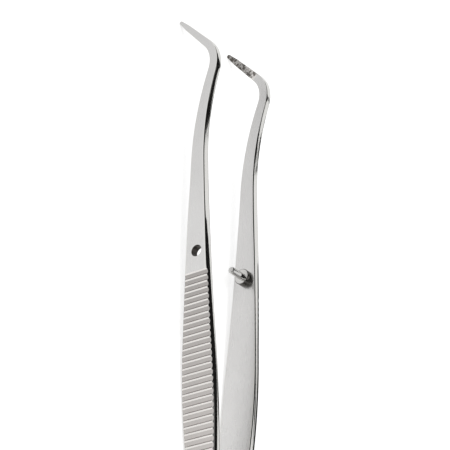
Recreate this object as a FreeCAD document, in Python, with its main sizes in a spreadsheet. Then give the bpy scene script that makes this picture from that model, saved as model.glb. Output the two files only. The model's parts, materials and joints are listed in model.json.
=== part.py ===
# Angled dental tweezers: two bowed steel arms welded flat at the heel, with bent and toothed tips,
# transverse grip flutes, and a collared guide pin on one arm that points at a hole in the other.
# Millimetres. Each arm is drawn along X from the heel's end, closes along Y and is as wide as Z.

import FreeCAD, Part
import Sketcher
import math
import os

from FreeCAD import Placement, Rotation, Vector

# Driving sizes, in millimetres and degrees: name, value, what it is
SIZES = [
    ("hole_station", 95.8, "heel end to the axis of the guide hole and pin"),
    ("guide_shift", 0.25, "guide hole and pin up from the blade's centre line"),
    ("weld_length", 10.0, "length of the flat faces welded together at the heel"),
    ("heel_thickness", 1.5, "each arm's thickness at the weld"),
    ("hole_thickness", 1.78, "each arm's thickness at the guide hole"),
    ("tip_thickness", 0.75, "each arm's thickness at the very tip"),
    ("splay_angle", 5.4, "slope of an inner face where it leaves the weld"),
    ("shank_angle", 1.0, "slope of an inner face beyond the bow"),
    ("toe_angle", 0.8, "inward slope of an inner face along the bent tip"),
    ("grip_taper", 1.2, "how much steeper the outer face leaves the heel"),
    ("neck_taper", 0.52, "how much flatter the outer face is beyond the bow"),
    ("bow_radius", 571.0, "radius of the inner face along the grip"),
    ("bow_end", 8.2, "guide hole to the end of the bow"),
    ("heel_radius", 70.0, "round between the heel's outer face and the arm's back"),
    ("toe_length", 9.2, "tips to the start of the inward slope"),
    ("toe_radius", 80.0, "round where the inward slope starts"),
    ("beak_taper_length", 8.0, "tips to the start of the ground taper on the outer face"),
    ("beak_taper_radius", 40.0, "round where the ground taper starts"),
    ("heel_width", 5.5, "blade width at the heel's end"),
    ("heel_corner", 1.8, "corner radius of the heel"),
    ("waist_station", 46.0, "heel end to the waist behind the grip"),
    ("waist_width", 6.2, "blade width at the waist"),
    ("waist_radius", 300.0, "hollow round of the waist"),
    ("grip_station", 67.5, "heel end to the widest place"),
    ("grip_width", 8.25, "blade width where the two slopes of the widest place meet, before the round"),
    ("grip_radius", 180.0, "crest round of the widest place"),
    ("flare_offset", 14.2, "guide hole to the change of taper"),
    ("flare_width", 3.98, "blade width at the change of taper"),
    ("flare_radius", 300.0, "hollow round of the change of taper"),
    ("lean_offset", 19.8, "guide hole to the start of the upward sweep before the bend"),
    ("lean_angle", 17.6, "turn of the upward sweep"),
    ("lean_radius", 62.0, "radius of the upward sweep on the blade's centre line"),
    ("lean_width", 2.86, "blade width halfway round the upward sweep"),
    ("shank_straight", 1.37, "straight length between the sweep and the bend"),
    ("bend_angle", 60.8, "turn of the bend behind the tip"),
    ("bend_radius", 6.6, "radius of the bend on the blade's centre line"),
    ("bend_width", 2.06, "blade width halfway round the bend"),
    ("beak_length", 11.15, "straight length of the tip"),
    ("tip_width", 1.32, "blade width at the very tip"),
    ("tip_corner", 0.5, "corner radius of the tip"),
    ("outer_bevel", 0.38, "polished bevel along each edge of the outer face"),
    ("inner_bevel", 0.15, "finer bevel along each edge of the inner face"),
    ("flute_count", 34.0, "number of grip flutes on each arm"),
    ("flute_pitch", 1.295, "flute spacing along the outer face"),
    ("flute_radius", 0.68, "radius of the cutter that makes a flute"),
    ("flute_depth", 0.5, "how far the cutter sinks below the outer face"),
    ("flute_offset", 5.0, "guide hole to the middle of the first flute"),
    ("tooth_count", 15.0, "number of grooves between the teeth of a tip"),
    ("tooth_pitch", 0.6, "tooth spacing along the tip"),
    ("tooth_depth", 0.2, "depth of the grooves between the teeth"),
    ("tooth_land", 0.06, "flat left on top of each tooth"),
    ("tooth_offset", 0.7, "tip's end to the first groove"),
    ("tooth_clear", 0.1, "how far the groove cutter starts off the face"),
    ("hole_diameter", 2.3, "guide hole"),
    ("hole_edge", 0.15, "edge break round the guide hole"),
    ("rivet_diameter", 1.8, "pin's shank inside the arm"),
    ("rivet_head", 2.6, "pin's peened end in its countersink on the outer face"),
    ("rivet_head_depth", 0.4, "depth of that countersink"),
    ("rivet_recess", 0.02, "how far the peened end is polished below the outer face"),
    ("countersink_run", 0.3, "how far the countersink's cutter runs past the outer face"),
    ("collar_diameter", 3.3, "pin's collar on the inner face"),
    ("collar_height", 1.25, "how far the collar stands off the inner face"),
    ("collar_edge", 0.2, "edge break on the collar"),
    ("pin_diameter", 1.45, "guide pin beyond the collar"),
    ("pin_reach", 3.55, "how far the pin stands beyond the collar"),
    ("pin_nose", 0.35, "round on the pin's end"),
    ("overrun", 2.0, "how far blanks and cutters run past the piece"),
]

# Sizes that follow from the driving ones: name, formula
FORMULAS = [
    ("bow_end_station", "hole_station + bow_end"),
    ("bow_half_turn", "(splay_angle - shank_angle) / 2"),
    ("bow_corner_x", "bow_end_station - bow_radius * tan(bow_half_turn) * cos(shank_angle)"),
    ("bow_corner_y", "(bow_corner_x - weld_length) * tan(splay_angle)"),
    ("bow_end_y", "bow_corner_y + (bow_end_station - bow_corner_x) * tan(shank_angle)"),
    ("bow_centre_x", "bow_end_station + bow_radius * sin(shank_angle)"),
    ("bow_centre_y", "bow_end_y - bow_radius * cos(shank_angle)"),
    ("hole_run", "bow_centre_x - hole_station"),
    ("hole_y", "bow_centre_y + sqrt(bow_radius * bow_radius - hole_run * hole_run)"),
    ("hole_lean", "asin(hole_run / bow_radius) / 1deg"),
    ("back_splay", "splay_angle + grip_taper"),
    ("back_shank", "shank_angle - neck_taper"),
    ("back_radius", "bow_radius + hole_thickness"),
    ("back_centre_x", "bow_end_station + back_radius * sin(back_shank)"),
    ("back_run", "back_centre_x - hole_station"),
    ("back_hole_y", "hole_y + hole_thickness"),
    ("back_centre_y", "back_hole_y - sqrt(back_radius * back_radius - back_run * back_run)"),
    ("back_half_turn", "(back_splay - back_shank) / 2"),
    ("back_mid_angle", "(back_splay + back_shank) / 2"),
    ("back_corner_x", "back_centre_x - back_radius / cos(back_half_turn) * sin(back_mid_angle)"),
    ("back_corner_y", "back_centre_y + back_radius / cos(back_half_turn) * cos(back_mid_angle)"),
    ("shoulder_x", "back_corner_x - (back_corner_y - heel_thickness) / tan(back_splay)"),
    ("lean_tangent", "lean_radius * tan(lean_angle / 2)"),
    ("bend_tangent", "bend_radius * tan(bend_angle / 2)"),
    ("beak_angle", "bend_angle - lean_angle"),
    ("lean_x", "hole_station + lean_offset + lean_tangent"),
    ("bend_run", "lean_tangent + shank_straight + bend_tangent"),
    ("bend_x", "lean_x + bend_run * cos(lean_angle)"),
    ("bend_z", "bend_run * sin(lean_angle)"),
    ("beak_run", "bend_tangent + beak_length"),
    ("tip_x", "bend_x + beak_run * cos(beak_angle)"),
    ("tip_z", "bend_z - beak_run * sin(beak_angle)"),
    ("tip_station", "tip_x + tip_width / 2 * sin(beak_angle)"),
    ("blank_start", "0 - overrun"),
    ("blank_end", "tip_station + overrun"),
    ("toe_x", "tip_station - toe_length"),
    ("toe_y", "bow_corner_y + (toe_x - bow_corner_x) * tan(shank_angle)"),
    ("toe_end_y", "toe_y - (blank_end - toe_x) * tan(toe_angle)"),
    ("beak_taper_x", "tip_station - beak_taper_length"),
    ("beak_taper_y", "back_corner_y + (beak_taper_x - back_corner_x) * tan(back_shank)"),
    ("tip_inner_y", "toe_y - toe_length * tan(toe_angle)"),
    ("tip_outer_y", "tip_inner_y + tip_thickness"),
    ("beak_slope", "(tip_outer_y - beak_taper_y) / beak_taper_length"),
    ("beak_end_y", "tip_outer_y + beak_slope * overrun"),
    ("flare_station", "hole_station + flare_offset"),
    ("heel_edge", "heel_width / 2"),
    ("waist_edge", "waist_width / 2"),
    ("grip_edge", "grip_width / 2"),
    ("flare_edge", "flare_width / 2"),
    ("lean_reach", "lean_width / 2 / cos(lean_angle / 2)"),
    ("lean_shift_x", "lean_reach * sin(lean_angle / 2)"),
    ("lean_shift_z", "lean_reach * cos(lean_angle / 2)"),
    ("bend_reach", "bend_width / 2 / cos(bend_angle / 2)"),
    ("bend_mid_angle", "(beak_angle - lean_angle) / 2"),
    ("bend_shift_x", "bend_reach * sin(bend_mid_angle)"),
    ("bend_shift_z", "bend_reach * cos(bend_mid_angle)"),
    ("tip_shift_x", "tip_width / 2 * sin(beak_angle)"),
    ("tip_shift_z", "tip_width / 2 * cos(beak_angle)"),
    ("lean_upper_x", "lean_x - lean_shift_x"),
    ("lean_lower_x", "lean_x + lean_shift_x"),
    ("lean_upper_z", "lean_shift_z"),
    ("lean_lower_z", "0 - lean_shift_z"),
    ("lean_upper_radius", "lean_radius - lean_width / 2"),
    ("lean_lower_radius", "lean_radius + lean_width / 2"),
    ("bend_upper_x", "bend_x + bend_shift_x"),
    ("bend_lower_x", "bend_x - bend_shift_x"),
    ("bend_upper_z", "bend_z + bend_shift_z"),
    ("bend_lower_z", "bend_z - bend_shift_z"),
    ("bend_upper_radius", "bend_radius + bend_width / 2"),
    ("bend_lower_radius", "bend_radius - bend_width / 2"),
    ("tip_upper_x", "tip_x + tip_shift_x"),
    ("tip_lower_x", "tip_x - tip_shift_x"),
    ("tip_upper_z", "tip_z + tip_shift_z"),
    ("tip_lower_z", "tip_z - tip_shift_z"),
    ("blank_width", "4 * grip_width"),
    ("frame_start", "0 - 2 * overrun"),
    ("frame_end", "blank_end + overrun"),
    ("frame_edge", "blank_width / 2 + overrun"),
    ("cut_depth", "4 * back_hole_y"),
    ("flute_run", "back_run + flute_offset"),
    ("flute_lean", "asin(flute_run / back_radius) / 1deg"),
    ("flute_orbit", "back_radius + flute_radius - flute_depth"),
    ("flute_x", "0 - flute_orbit * sin(flute_lean)"),
    ("flute_y", "flute_orbit * cos(flute_lean)"),
    ("flute_step", "2 * asin(flute_pitch / 2 / back_radius) / 1deg"),
    ("tooth_face_slope", "tan(toe_angle) * cos(beak_angle)"),
    ("tooth_lean", "atan(tooth_face_slope) / 1deg"),
    ("tooth_x", "tip_x - tooth_offset * cos(beak_angle)"),
    ("tooth_y", "toe_y - (tooth_x - toe_x) * tan(toe_angle)"),
    ("tooth_z", "tip_z + tooth_offset * sin(beak_angle)"),
    ("tooth_back_x", "0 - cos(tooth_lean)"),
    ("tooth_back_y", "sin(tooth_lean)"),
    ("groove_mouth", "(tooth_pitch - tooth_land) / 2 * (1 + tooth_clear / tooth_depth)"),
    ("groove_length", "3 * tip_width"),
    ("rivet_length", "hole_thickness / cos(hole_lean) - rivet_recess"),
    ("rivet_neck", "rivet_length - rivet_head_depth"),
    ("rivet_edge", "rivet_diameter / 2"),
    ("rivet_head_edge", "rivet_head / 2"),
    ("countersink_end", "rivet_length + countersink_run"),
    ("countersink_spread", "(rivet_head_edge - rivet_edge) / rivet_head_depth"),
    ("countersink_edge", "rivet_head_edge + countersink_run * countersink_spread"),
    ("seat_start", "0 - overrun"),
    ("hole_radius", "hole_diameter / 2"),
    ("collar_edge_x", "collar_diameter / 2"),
    ("pin_edge", "pin_diameter / 2"),
    ("pin_end", "collar_height + pin_reach"),
]

NEAR = 1    # the arm with the hole closes from the positive side of Y
FAR = -1    # the arm with the pin closes from the negative side
FULL_TURN = 360.0

# The sketcher's numbers for a sketch's own origin and axes, and the word for a zero coordinate
ORIGIN = -1
X_AXIS = -1
Y_AXIS = -2
ZERO = "zero"


def size_sheet(doc):
    """The sheet of sizes: driving ones as plain numbers, then the ones that follow."""
    sheet = doc.addObject("Spreadsheet::Sheet", "Sizes")
    sheet.set("A1", "Size")
    sheet.set("B1", "Value")
    sheet.set("C1", "What it is")
    row = 2
    for name, value, meaning in SIZES:
        sheet.set("A%d" % row, name)
        sheet.set("B%d" % row, str(value))
        sheet.set("C%d" % row, meaning)
        sheet.setAlias("B%d" % row, name)
        row += 1
    for name, formula in FORMULAS:
        sheet.set("A%d" % row, name)
        sheet.set("B%d" % row, "=" + formula)
        sheet.setAlias("B%d" % row, name)
        row += 1
    doc.recompute()
    return sheet


def value_of(sheet, name):
    """The number in a named cell."""
    cell = getattr(sheet, name)
    return float(getattr(cell, "Value", cell))


def origin_plane(body, role):
    for feature in body.Origin.OriginFeatures:
        if feature.Role == role:
            return feature
    raise ValueError(role)


def new_sketch(body, name, role="XY_Plane"):
    sketch = body.newObject("Sketcher::SketchObject", name)
    sketch.AttachmentSupport = [(origin_plane(body, role), "")]
    sketch.MapMode = "FlatFace"
    return sketch


def bind(sketch, kind, elements, name, sign=1):
    """Adds a driving constraint whose size is a named cell, or its negative."""
    start = sign * value_of(sketch.Document.Sizes, name)
    index = sketch.addConstraint(Sketcher.Constraint(kind, *elements, start))
    prefix = "-" if sign < 0 else ""
    sketch.setExpression("Constraints[%d]" % index, prefix + "Sizes." + name)


def place_point(sketch, element, end, across, up, side):
    """Ties a point to the sketch's origin by two named cells, each of which may be zero or negated."""
    for kind, axis, name, flip in (("DistanceX", Y_AXIS, across, 1), ("DistanceY", X_AXIS, up, side)):
        if name == ZERO:
            sketch.addConstraint(Sketcher.Constraint("PointOnObject", element, end, axis))
            continue
        sign = flip
        if name.startswith("-"):
            sign = -flip
        bind(sketch, kind, (ORIGIN, 1, element, end), name.lstrip("-"), sign)


def coordinate(sketch, name, side=1):
    """The number that a name stands for in a corner: a cell, its negative or zero."""
    if name == ZERO:
        return 0.0
    if name.startswith("-"):
        return -side * value_of(sketch.Document.Sizes, name[1:])
    return side * value_of(sketch.Document.Sizes, name)


def meeting_points(before, corner, after, radius):
    """Where a round of this radius meets the two sides of a corner, and its centre."""
    inward = (before - corner).normalize()
    outward = (after - corner).normalize()
    half_angle = inward.getAngle(outward) / 2
    reach = radius / math.tan(half_angle)
    middle = (inward + outward).normalize()
    centre = corner + middle * (radius / math.sin(half_angle))
    return corner + inward * reach, corner + outward * reach, centre


def short_arc(start, end, centre):
    """The short arc from start to end, and which of its ends is the start: 1 or 2."""
    first = math.atan2(start.y - centre.y, start.x - centre.x)
    turn = (math.atan2(end.y - centre.y, end.x - centre.x) - first) % (2 * math.pi)
    circle = Part.Circle(centre, Vector(0, 0, 1), (start - centre).Length)
    if turn < math.pi:
        return Part.ArcOfCircle(circle, first, first + turn), 1
    return Part.ArcOfCircle(circle, first + turn - 2 * math.pi, first), 2


def rounded_polygon(sketch, corners, side=1):
    """A closed outline through corners given as (across, up, round) by the names of cells."""
    places = []
    for across, up, radius in corners:
        places.append(Vector(coordinate(sketch, across), coordinate(sketch, up, side), 0))
    starts = []
    leaves = []
    centres = []
    for index, (across, up, radius) in enumerate(corners):
        start = leave = places[index]
        centre = None
        if radius:
            after = places[(index + 1) % len(places)]
            size = value_of(sketch.Document.Sizes, radius)
            start, leave, centre = meeting_points(places[index - 1], places[index], after, size)
        starts.append(start)
        leaves.append(leave)
        centres.append(centre)
    lines = []
    for index in range(len(corners)):
        line = Part.LineSegment(leaves[index], starts[(index + 1) % len(corners)])
        lines.append(sketch.addGeometry(line, False))
    for index, (across, up, radius) in enumerate(corners):
        line_in = lines[index - 1]
        line_out = lines[index]
        if not radius:
            sketch.addConstraint(Sketcher.Constraint("Coincident", line_in, 2, line_out, 1))
            place_point(sketch, line_out, 1, across, up, side)
            continue
        mark = sketch.addGeometry(Part.Point(places[index]), True)
        place_point(sketch, mark, 1, across, up, side)
        sketch.addConstraint(Sketcher.Constraint("PointOnObject", mark, 1, line_in))
        sketch.addConstraint(Sketcher.Constraint("PointOnObject", mark, 1, line_out))
        curve, first = short_arc(starts[index], leaves[index], centres[index])
        arc = sketch.addGeometry(curve, False)
        sketch.addConstraint(Sketcher.Constraint("Tangent", line_in, 2, arc, first))
        sketch.addConstraint(Sketcher.Constraint("Tangent", arc, 3 - first, line_out, 1))
        bind(sketch, "Radius", (arc,), radius)


def shift_sketch(sketch, axis, angle, side, across, up, rise=None):
    """Moves a sketch off its plane's origin and turns it about one axis, by the names of cells."""
    sketch.AttachmentOffset = Placement(Vector(0, 0, 0), Rotation(axis, 1))
    sketch.setExpression("AttachmentOffset.Base.x", "Sizes." + across)
    sketch.setExpression("AttachmentOffset.Base.y", "%d * Sizes.%s" % (side, up))
    if rise:
        sketch.setExpression("AttachmentOffset.Base.z", "Sizes." + rise)
    sketch.setExpression("AttachmentOffset.Rotation.Angle", angle)


def strip(body, side):
    """The bowed strip seen on its edge: the inner face from the weld to the tip, then the back."""
    sketch = new_sketch(body, "side_profile")
    corners = [
        ("blank_start", ZERO, None),
        ("weld_length", ZERO, None),
        ("bow_corner_x", "bow_corner_y", "bow_radius"),
        ("toe_x", "toe_y", "toe_radius"),
        ("blank_end", "toe_end_y", None),
        ("blank_end", "beak_end_y", None),
        ("beak_taper_x", "beak_taper_y", "beak_taper_radius"),
        ("back_corner_x", "back_corner_y", "back_radius"),
        ("shoulder_x", "heel_thickness", "heel_radius"),
        ("blank_start", "heel_thickness", None),
    ]
    rounded_polygon(sketch, corners, side)
    pad = body.newObject("PartDesign::Pad", "bowed_strip")
    pad.Profile = sketch
    pad.SideType = "Symmetric"
    pad.setExpression("Length", "Sizes.blank_width")


def blade_outline(body):
    """Cuts the strip to the blade seen flat: heel, waist, grip, taper, upward sweep, bend and tip."""
    sketch = new_sketch(body, "blade_outline", "XZ_Plane")
    frame = [
        ("frame_start", "-frame_edge", None),
        ("frame_end", "-frame_edge", None),
        ("frame_end", "frame_edge", None),
        ("frame_start", "frame_edge", None),
    ]
    outline = [
        (ZERO, "heel_edge", "heel_corner"),
        ("waist_station", "waist_edge", "waist_radius"),
        ("grip_station", "grip_edge", "grip_radius"),
        ("flare_station", "flare_edge", "flare_radius"),
        ("lean_upper_x", "lean_upper_z", "lean_upper_radius"),
        ("bend_upper_x", "bend_upper_z", "bend_upper_radius"),
        ("tip_upper_x", "tip_upper_z", "tip_corner"),
        ("tip_lower_x", "tip_lower_z", "tip_corner"),
        ("bend_lower_x", "bend_lower_z", "bend_lower_radius"),
        ("lean_lower_x", "lean_lower_z", "lean_lower_radius"),
        ("flare_station", "-flare_edge", "flare_radius"),
        ("grip_station", "-grip_edge", "grip_radius"),
        ("waist_station", "-waist_edge", "waist_radius"),
        (ZERO, "-heel_edge", "heel_corner"),
    ]
    rounded_polygon(sketch, frame)
    rounded_polygon(sketch, outline)
    pocket = body.newObject("PartDesign::Pocket", "blade_cut")
    pocket.Profile = sketch
    pocket.SideType = "Symmetric"
    pocket.setExpression("Length", "Sizes.cut_depth")


def face_normal(face):
    u_first, u_last, v_first, v_last = face.ParameterRange
    return face.normalAt((u_first + u_last) / 2, (v_first + v_last) / 2)


def rim_edges(shape, side, outer):
    """Names of the long edges between the blade's side walls and its outer or inner face."""
    names = []
    for index, edge in enumerate(shape.Edges):
        faces = shape.ancestorsOfType(edge, Part.Face)
        normals = [face_normal(face) for face in faces]
        broad = [normal for normal in normals if abs(normal.y) > 0.5]
        walls = [normal for normal in normals if abs(normal.y) < 0.01]
        if len(broad) != 1 or len(walls) != 1:
            continue
        faces_out = broad[0].y * side > 0
        on_weld = abs(edge.CenterOfMass.y) < 1e-6
        if faces_out == outer and not on_weld:
            names.append("Edge%d" % (index + 1))
    return names


def edge_bevels(body, side):
    """Polished bevels along the outer face's edges, and finer ones along the inner face's."""
    for name, outer in (("outer_bevel", True), ("inner_bevel", False)):
        body.Document.recompute()
        base = body.Tip
        bevel = body.newObject("PartDesign::Chamfer", name + "s")
        bevel.Base = (base, rim_edges(base.Shape, side, outer))
        bevel.setExpression("Size", "Sizes." + name)


def guide_hole(body, side):
    """The hole for the other arm's pin, square to the inner face, with both its edges broken."""
    sketch = new_sketch(body, "hole_circle", "XY_Plane")
    turn = "%d * Sizes.hole_lean" % side
    shift_sketch(sketch, Vector(0, 0, 1), turn, side, "hole_station", "hole_y", "guide_shift")
    corners = [
        (ZERO, "-cut_depth", None),
        ("hole_radius", "-cut_depth", None),
        ("hole_radius", "cut_depth", None),
        (ZERO, "cut_depth", None),
    ]
    rounded_polygon(sketch, corners, side)
    groove = body.newObject("PartDesign::Groove", "guide_hole")
    groove.Profile = sketch
    groove.ReferenceAxis = (sketch, ["V_Axis"])
    groove.Angle = FULL_TURN
    body.Document.recompute()
    shape = groove.Shape
    size = value_of(body.Document.Sizes, "hole_radius")
    names = []
    for index, edge in enumerate(shape.Edges):
        faces = shape.ancestorsOfType(edge, Part.Face)
        bores = [face for face in faces if is_bore(face, size)]
        if len(bores) == 1 and len(faces) == 2:
            names.append("Edge%d" % (index + 1))
    chamfer = body.newObject("PartDesign::Chamfer", "hole_edges")
    chamfer.Base = (groove, names)
    chamfer.setExpression("Size", "Sizes.hole_edge")


def is_bore(face, radius):
    surface = face.Surface
    return isinstance(surface, Part.Cylinder) and abs(surface.Radius - radius) < 1e-6


def pin_seat(body, side):
    """The hole that the pin's shank fills, with a countersink for its peened end."""
    sketch = new_sketch(body, "seat_profile")
    turn = "%d * Sizes.hole_lean" % side
    shift_sketch(sketch, Vector(0, 0, 1), turn, side, "hole_station", "hole_y", "guide_shift")
    corners = [
        (ZERO, "seat_start", None),
        ("rivet_edge", "seat_start", None),
        ("rivet_edge", "rivet_neck", None),
        ("countersink_edge", "countersink_end", None),
        (ZERO, "countersink_end", None),
    ]
    rounded_polygon(sketch, corners, side)
    groove = body.newObject("PartDesign::Groove", "pin_seat")
    groove.Profile = sketch
    groove.ReferenceAxis = (sketch, ["V_Axis"])
    groove.Angle = FULL_TURN


def grip_flutes(body, side):
    """Concave flutes across the outer face, set round the bow's centre so that they follow it."""
    sketch = new_sketch(body, "flute_circle")
    shift_sketch(sketch, Vector(0, 0, 1), "0", side, "back_centre_x", "back_centre_y")
    sizes = body.Document.Sizes
    centre = Vector(value_of(sizes, "flute_x"), side * value_of(sizes, "flute_y"), 0)
    circle = Part.Circle(centre, Vector(0, 0, 1), value_of(sizes, "flute_radius"))
    index = sketch.addGeometry(circle, False)
    place_point(sketch, index, 3, "flute_x", "flute_y", side)
    bind(sketch, "Radius", (index,), "flute_radius")
    pocket = body.newObject("PartDesign::Pocket", "first_flute")
    pocket.Profile = sketch
    pocket.SideType = "Symmetric"
    pocket.setExpression("Length", "Sizes.blank_width")
    body.Document.recompute()
    pattern = body.newObject("PartDesign::PolarPattern", "grip_flutes")
    pattern.Originals = [pocket]
    pattern.Axis = (sketch, ["N_Axis"])
    pattern.Mode = "Spacing"
    pattern.Reversed = side < 0
    pattern.setExpression("Offset", "Sizes.flute_step")
    pattern.setExpression("Occurrences", "Sizes.flute_count")
    body.Tip = pattern


def tip_teeth(body, side):
    """Fine V grooves across the inner face of the bent tip."""
    sketch = new_sketch(body, "groove_profile")
    shift_sketch(sketch, Vector(0, 1, 0), "Sizes.beak_angle", side, "tooth_x", "tooth_y", "tooth_z")
    corners = [
        ("-groove_mouth", "-tooth_clear", None),
        ("groove_mouth", "-tooth_clear", None),
        (ZERO, "tooth_depth", None),
    ]
    rounded_polygon(sketch, corners, side)
    back = Vector(coordinate(sketch, "tooth_back_x"), coordinate(sketch, "tooth_back_y", side), 0)
    along = sketch.addGeometry(Part.LineSegment(Vector(0, 0, 0), back), True)
    sketch.addConstraint(Sketcher.Constraint("Coincident", along, 1, ORIGIN, 1))
    place_point(sketch, along, 2, "tooth_back_x", "tooth_back_y", side)
    pocket = body.newObject("PartDesign::Pocket", "first_groove")
    pocket.Profile = sketch
    pocket.SideType = "Symmetric"
    pocket.setExpression("Length", "Sizes.groove_length")
    body.Document.recompute()
    pattern = body.newObject("PartDesign::LinearPattern", "tip_teeth")
    pattern.Originals = [pocket]
    pattern.Direction = (sketch, ["Axis0"])
    pattern.Mode = "Spacing"
    pattern.setExpression("Offset", "Sizes.tooth_pitch")
    pattern.setExpression("Occurrences", "Sizes.tooth_count")
    body.Tip = pattern


def arm(doc, name, side):
    """One arm: strip, outline, bevelled edges, its hole or pin seat, flutes and teeth."""
    body = doc.addObject("PartDesign::Body", name)
    body.Label = name
    strip(body, side)
    blade_outline(body)
    edge_bevels(body, side)
    if side == NEAR:
        guide_hole(body, side)
    else:
        pin_seat(body, side)
    grip_flutes(body, side)
    tip_teeth(body, side)
    doc.recompute()
    return body


def turned_pin(doc, name):
    """The guide pin, turned about its own axis: peened end, shank, collar, pin and round nose."""
    body = doc.addObject("PartDesign::Body", name)
    body.Label = name
    sketch = new_sketch(body, "pin_profile")
    corners = [
        (ZERO, "-rivet_length", None),
        ("rivet_head_edge", "-rivet_length", None),
        ("rivet_edge", "-rivet_neck", None),
        ("rivet_edge", ZERO, None),
        ("collar_edge_x", ZERO, None),
        ("collar_edge_x", "collar_height", "collar_edge"),
        ("pin_edge", "collar_height", None),
        ("pin_edge", "pin_end", "pin_nose"),
        (ZERO, "pin_end", None),
    ]
    rounded_polygon(sketch, corners)
    turning = body.newObject("PartDesign::Revolution", "turned_pin")
    turning.Profile = sketch
    turning.ReferenceAxis = (sketch, ["V_Axis"])
    turning.Angle = FULL_TURN
    doc.recompute()
    return body


def resting_tilt(sizes):
    """How far the pair is tipped so that its heel and both tips touch the ground together."""
    heel_corner = value_of(sizes, "heel_corner")
    heel_low = -value_of(sizes, "heel_edge")
    tip_corner = value_of(sizes, "tip_corner")
    beak = math.radians(value_of(sizes, "beak_angle"))
    along = Vector(math.cos(beak), 0, -math.sin(beak))
    across = Vector(math.sin(beak), 0, math.cos(beak))
    tip = Vector(value_of(sizes, "tip_x"), 0, value_of(sizes, "tip_z"))
    half = value_of(sizes, "tip_width") / 2
    centre = tip - along * tip_corner - across * (half - tip_corner)
    return math.degrees(math.atan2(heel_low - centre.z + tip_corner, centre.x - heel_corner))


def check_document(doc, bodies):
    for item in doc.Objects:
        if "Invalid" in item.State or "Error" in item.State:
            raise RuntimeError("%s is %s" % (item.Name, item.State))
    for body in bodies:
        shape = body.Shape
        if shape.isNull() or not shape.isValid() or len(shape.Solids) != 1:
            raise RuntimeError("%s has no single sound solid" % body.Label)


def main():
    doc = FreeCAD.newDocument("angled_tweezers")
    sizes = size_sheet(doc)
    near_arm = arm(doc, "arm_with_hole", NEAR)
    far_arm = arm(doc, "arm_with_pin", FAR)
    pin = turned_pin(doc, "guide_pin")
    bodies = [near_arm, far_arm, pin]

    # The pin's own origin is where its axis crosses the far arm's inner face
    hole_y = value_of(sizes, "hole_y")
    seat = Vector(value_of(sizes, "hole_station"), FAR * hole_y, value_of(sizes, "guide_shift"))
    seat_turn = Rotation(Vector(0, 0, 1), FAR * value_of(sizes, "hole_lean"))
    local_places = [Placement(), Placement(), Placement(seat, seat_turn)]

    # The pair lies on its lower edges: heel and tips on the ground, origin under the box's middle
    tilt = Placement(Vector(0, 0, 0), Rotation(Vector(0, 1, 0), -resting_tilt(sizes)))
    box = FreeCAD.BoundBox()
    for body, place in zip(bodies, local_places):
        body.Placement = tilt.multiply(place)
        box.add(body.Shape.optimalBoundingBox(False, False))
    ground = Placement(Vector(-box.Center.x, -box.Center.y, -box.ZMin), Rotation())
    for body in bodies:
        body.Placement = ground.multiply(body.Placement)
    doc.recompute()
    check_document(doc, bodies)

    os.makedirs("parts", exist_ok=True)
    for body in bodies:
        body.Shape.exportStep("parts/%s.step" % body.Label)
        extent = body.Shape.BoundBox
        print(body.Label, "volume %.1f mm3" % body.Shape.Volume, extent)
    hinge = bodies[0].Placement.multVec(Vector(value_of(sizes, "weld_length"), 0, 0))
    width_axis = bodies[0].Placement.Rotation.multVec(Vector(0, 0, 1))
    print("weld front", hinge, "width direction", width_axis, "tilt", resting_tilt(sizes))


main()
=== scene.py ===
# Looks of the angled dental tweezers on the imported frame: ground and polished steel arms, and a guide pin.
# Blade sizes are millimetres in the blade's own frame: along from the heel's end, out from the plane where
# the arms meet, and up across the blade's width. Everything in the scene itself is metres.

import json
import math

import bmesh
import bpy
from mathutils import Matrix, Vector
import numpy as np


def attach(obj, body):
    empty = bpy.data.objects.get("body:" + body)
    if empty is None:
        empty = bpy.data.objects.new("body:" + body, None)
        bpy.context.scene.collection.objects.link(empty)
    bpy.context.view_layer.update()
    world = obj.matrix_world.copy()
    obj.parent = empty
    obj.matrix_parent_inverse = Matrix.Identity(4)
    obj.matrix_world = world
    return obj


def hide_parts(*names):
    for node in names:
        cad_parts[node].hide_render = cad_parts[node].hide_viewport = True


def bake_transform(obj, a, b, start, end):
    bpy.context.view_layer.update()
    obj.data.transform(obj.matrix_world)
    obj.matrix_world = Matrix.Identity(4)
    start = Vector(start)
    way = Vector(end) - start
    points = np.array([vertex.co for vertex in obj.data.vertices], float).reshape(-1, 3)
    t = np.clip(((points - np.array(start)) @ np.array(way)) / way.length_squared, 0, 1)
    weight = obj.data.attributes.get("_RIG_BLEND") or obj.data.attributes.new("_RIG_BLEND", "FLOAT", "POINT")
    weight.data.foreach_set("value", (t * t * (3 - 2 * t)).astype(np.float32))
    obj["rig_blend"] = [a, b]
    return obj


MM = 0.001
NEAR = 1                    # the side of the plane where the arms meet, along Y
FAR = -1

# Stations along the blade
WELD_END = 10.0
HOLE_X = 95.8
BOW_END_X = HOLE_X + 8.2
GUIDE_UP = 0.25             # guide hole and pin above the blade's centre line

# The bowed strip seen on its edge
HEEL_THICK = 1.5
HOLE_THICK = 1.78
TIP_THICK = 0.75
SPLAY = math.radians(5.4)
SHANK = math.radians(1.0)
TOE = math.radians(0.8)
BACK_SPLAY = SPLAY + math.radians(1.2)
BACK_SHANK = SHANK - math.radians(0.52)
BOW_RADIUS = 571.0
HEEL_ROUND = 70.0
TOE_LENGTH = 9.2
TOE_ROUND = 80.0
TAPER_LENGTH = 8.0
TAPER_ROUND = 40.0

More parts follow.
